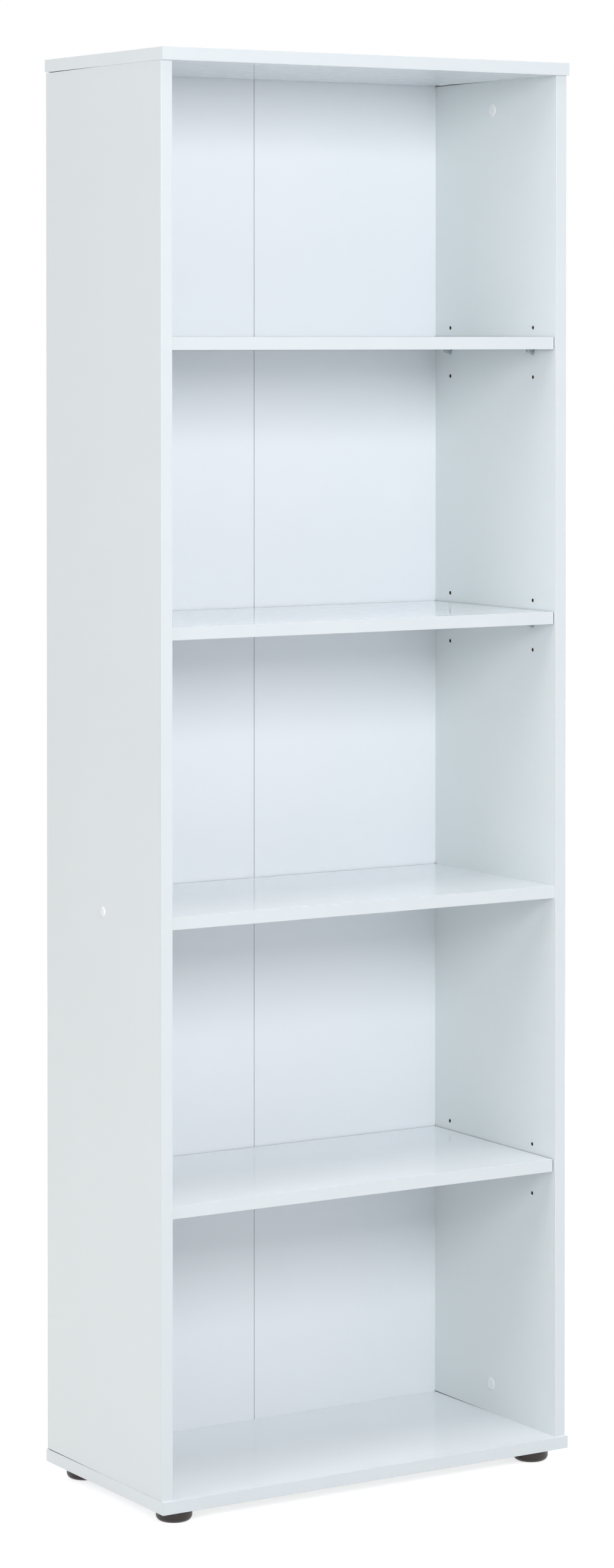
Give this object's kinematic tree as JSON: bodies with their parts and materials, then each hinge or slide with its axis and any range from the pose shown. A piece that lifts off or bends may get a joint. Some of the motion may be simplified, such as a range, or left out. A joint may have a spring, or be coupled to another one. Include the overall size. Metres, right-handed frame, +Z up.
{
  "type": "bookcase with adjustable shelves",
  "caption": "Tall narrow white bookcase with open bays, a fixed shelf, pin-held adjustable shelves, a grooved-in folded back and small round feet.",
  "frame": {"origin": "on the floor, at the middle of the footprint of the top and bottom boards", "axes": "+Z up, +Y from the open front to the back, +X to the right seen from the front"},
  "size_m": [0.603, 0.299, 1.801],
  "materials": {
    "white_board": "white melamine-faced chipboard, satin",
    "white_edging": "white ABS edge band, satin",
    "back_hardboard": "hardboard, white lacquer in front and brown behind",
    "fold_tape": "white tape",
    "shelf_pin_metal": "nickel-plated",
    "foot_plastic": "brown-black moulded plastic",
    "fastener_steel": "zinc-plated steel",
    "cam_zinc": "die-cast zinc",
    "cap_plastic": "white moulded plastic",
    "beech_dowel": "fluted beech"
  },
  "bodies": {
    "case": {"left_side_panel": "white_board", "right_side_panel": "white_board", "top_board": "white_board", "bottom_board": "white_board", "fixed_shelf": "white_board", "left_side_front_band": "white_edging", "right_side_front_band": "white_edging", "top_board_front_band": "white_edging", "bottom_board_front_band": "white_edging", "fixed_shelf_front_band": "white_edging", "top_board_end_bands": "white_edging", "bottom_board_end_bands": "white_edging", "back_panel_left": "back_hardboard", "back_panel_right": "back_hardboard", "back_fold_tape": "fold_tape", "foot_front_left": "foot_plastic", "foot_front_right": "foot_plastic", "foot_rear_left": "foot_plastic", "foot_rear_right": "foot_plastic", "foot_screws": "fastener_steel", "corner_cams": "cam_zinc", "corner_cam_bolts": "fastener_steel", "cam_cover_caps": "cap_plastic", "corner_dowels": "beech_dowel", "fixed_shelf_dowels": "beech_dowel", "fixed_shelf_screws": "fastener_steel", "fixed_shelf_screw_caps": "cap_plastic"},
    "lower_shelf": {"lower_shelf": "white_board", "lower_shelf_front_band": "white_edging"},
    "lower_shelf_pin_front_left": {"lower_shelf_pin_front_left": "shelf_pin_metal"},
    "lower_shelf_pin_rear_left": {"lower_shelf_pin_rear_left": "shelf_pin_metal"},
    "lower_shelf_pin_front_right": {"lower_shelf_pin_front_right": "shelf_pin_metal"},
    "lower_shelf_pin_rear_right": {"lower_shelf_pin_rear_right": "shelf_pin_metal"},
    "middle_shelf": {"middle_shelf": "white_board", "middle_shelf_front_band": "white_edging"},
    "middle_shelf_pin_front_left": {"middle_shelf_pin_front_left": "shelf_pin_metal"},
    "middle_shelf_pin_rear_left": {"middle_shelf_pin_rear_left": "shelf_pin_metal"},
    "middle_shelf_pin_front_right": {"middle_shelf_pin_front_right": "shelf_pin_metal"},
    "middle_shelf_pin_rear_right": {"middle_shelf_pin_rear_right": "shelf_pin_metal"},
    "upper_shelf": {"upper_shelf": "white_board", "upper_shelf_front_band": "white_edging"},
    "upper_shelf_pin_front_left": {"upper_shelf_pin_front_left": "shelf_pin_metal"},
    "upper_shelf_pin_rear_left": {"upper_shelf_pin_rear_left": "shelf_pin_metal"},
    "upper_shelf_pin_front_right": {"upper_shelf_pin_front_right": "shelf_pin_metal"},
    "upper_shelf_pin_rear_right": {"upper_shelf_pin_rear_right": "shelf_pin_metal"}
  },
  "joints": [
    {"name": "lower_shelf_pull_out", "type": "slide", "parent": "case", "child": "lower_shelf", "axis": [0, -1, 0], "range_m": [0, 0.3]},
    {"name": "lower_shelf_pin_front_left_pull_out", "type": "slide", "parent": "case", "child": "lower_shelf_pin_front_left", "axis": [1, 0, 0], "range_m": [0, 0.012]},
    {"name": "lower_shelf_pin_rear_left_pull_out", "type": "slide", "parent": "case", "child": "lower_shelf_pin_rear_left", "axis": [1, 0, 0], "range_m": [0, 0.012]},
    {"name": "lower_shelf_pin_front_right_pull_out", "type": "slide", "parent": "case", "child": "lower_shelf_pin_front_right", "axis": [-1, 0, 0], "range_m": [0, 0.012]},
    {"name": "lower_shelf_pin_rear_right_pull_out", "type": "slide", "parent": "case", "child": "lower_shelf_pin_rear_right", "axis": [-1, 0, 0], "range_m": [0, 0.012]},
    {"name": "middle_shelf_pull_out", "type": "slide", "parent": "case", "child": "middle_shelf", "axis": [0, -1, 0], "range_m": [0, 0.3]},
    {"name": "middle_shelf_pin_front_left_pull_out", "type": "slide", "parent": "case", "child": "middle_shelf_pin_front_left", "axis": [1, 0, 0], "range_m": [0, 0.012]},
    {"name": "middle_shelf_pin_rear_left_pull_out", "type": "slide", "parent": "case", "child": "middle_shelf_pin_rear_left", "axis": [1, 0, 0], "range_m": [0, 0.012]},
    {"name": "middle_shelf_pin_front_right_pull_out", "type": "slide", "parent": "case", "child": "middle_shelf_pin_front_right", "axis": [-1, 0, 0], "range_m": [0, 0.012]},
    {"name": "middle_shelf_pin_rear_right_pull_out", "type": "slide", "parent": "case", "child": "middle_shelf_pin_rear_right", "axis": [-1, 0, 0], "range_m": [0, 0.012]},
    {"name": "upper_shelf_pull_out", "type": "slide", "parent": "case", "child": "upper_shelf", "axis": [0, -1, 0], "range_m": [0, 0.3]},
    {"name": "upper_shelf_pin_front_left_pull_out", "type": "slide", "parent": "case", "child": "upper_shelf_pin_front_left", "axis": [1, 0, 0], "range_m": [0, 0.012]},
    {"name": "upper_shelf_pin_rear_left_pull_out", "type": "slide", "parent": "case", "child": "upper_shelf_pin_rear_left", "axis": [1, 0, 0], "range_m": [0, 0.012]},
    {"name": "upper_shelf_pin_front_right_pull_out", "type": "slide", "parent": "case", "child": "upper_shelf_pin_front_right", "axis": [-1, 0, 0], "range_m": [0, 0.012]},
    {"name": "upper_shelf_pin_rear_right_pull_out", "type": "slide", "parent": "case", "child": "upper_shelf_pin_rear_right", "axis": [-1, 0, 0], "range_m": [0, 0.012]}
  ]
}
